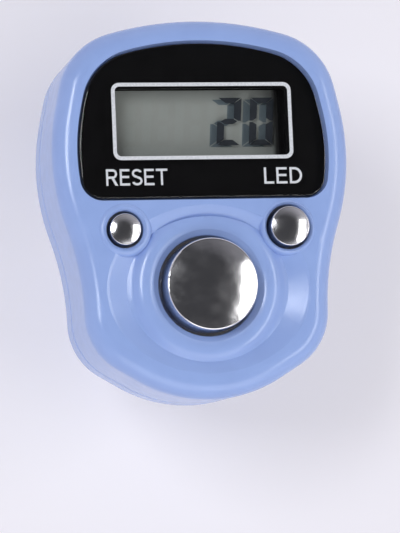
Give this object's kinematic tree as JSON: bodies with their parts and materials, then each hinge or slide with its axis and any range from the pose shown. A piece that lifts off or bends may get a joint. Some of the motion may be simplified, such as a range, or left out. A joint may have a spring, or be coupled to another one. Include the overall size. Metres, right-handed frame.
{
  "type": "digital tally counter",
  "caption": "Palm-sized digital tally counter worn on a finger: moulded blue case, black display panel, chromed push buttons and a soft strap loop.",
  "frame": {"origin": "middle of the case in plan, on the flat underside of the strap loop that the counter rests on", "axes": "+X to the right across the face, +Y towards the display end, +Z out of the face"},
  "size_m": [0.0302, 0.0382, 0.0298],
  "materials": {
    "case_blue": "gloss",
    "lens_clear": "gloss",
    "mask_black": "gloss",
    "polariser_grey": "gloss",
    "lcd_glass": "gloss",
    "reflector_grey": "matte",
    "guide_white": "satin",
    "holder_black": "matte",
    "zebra_rubber": "matte",
    "lamp_white": "satin",
    "board_green": "satin",
    "potting_black": "satin",
    "chip_black": "matte",
    "chip_tan": "matte",
    "switch_black": "matte",
    "sheet_steel": "satin",
    "chrome_cap": "mirror",
    "plunger_white": "satin",
    "cell_steel": "satin",
    "contact_brass": "satin",
    "screw_steel": "satin",
    "strap_clear": "satin"
  },
  "bodies": {
    "counter": {"front_case": "case_blue", "rear_cover": "case_blue", "display_lens": "lens_clear", "panel_mask": "mask_black", "lcd_polariser": "polariser_grey", "lcd_front_glass": "lcd_glass", "lcd_rear_glass": "lcd_glass", "lcd_reflector": "reflector_grey", "light_guide": "guide_white", "lcd_holder": "holder_black", "zebra_strip": "zebra_rubber", "backlight_lamps": "lamp_white", "circuit_board": "board_green", "controller_blob": "potting_black", "chip_resistors": "chip_black", "chip_capacitors": "chip_tan", "count_switch_base": "switch_black", "count_switch_cover": "sheet_steel", "reset_switch_base": "switch_black", "reset_switch_cover": "sheet_steel", "light_switch_base": "switch_black", "light_switch_cover": "sheet_steel", "switch_leads": "sheet_steel", "button_cell_left": "cell_steel", "button_cell_right": "cell_steel", "cell_holder": "holder_black", "cell_contact_left": "contact_brass", "cell_contact_right": "contact_brass", "cell_bridge": "contact_brass", "board_screws": "screw_steel", "case_screws": "screw_steel", "strap_hole_half": "strap_clear", "strap_stud_half": "strap_clear"},
    "count_key": {"count_button": "chrome_cap", "count_plunger": "plunger_white"},
    "reset_key": {"reset_button": "chrome_cap", "reset_plunger": "plunger_white"},
    "light_key": {"light_button": "chrome_cap", "light_plunger": "plunger_white"}
  },
  "joints": [
    {"name": "count_press", "type": "slide", "parent": "counter", "child": "count_key", "axis": [0, 0, -1], "range_m": [0, 0.0005], "stiffness_N_per_m": 400, "springref_m": -0.0005},
    {"name": "reset_press", "type": "slide", "parent": "counter", "child": "reset_key", "axis": [0, 0, -1], "range_m": [0, 0.0004], "stiffness_N_per_m": 300, "springref_m": -0.0005},
    {"name": "light_press", "type": "slide", "parent": "counter", "child": "light_key", "axis": [0, 0, -1], "range_m": [0, 0.0004], "stiffness_N_per_m": 300, "springref_m": -0.0005}
  ]
}
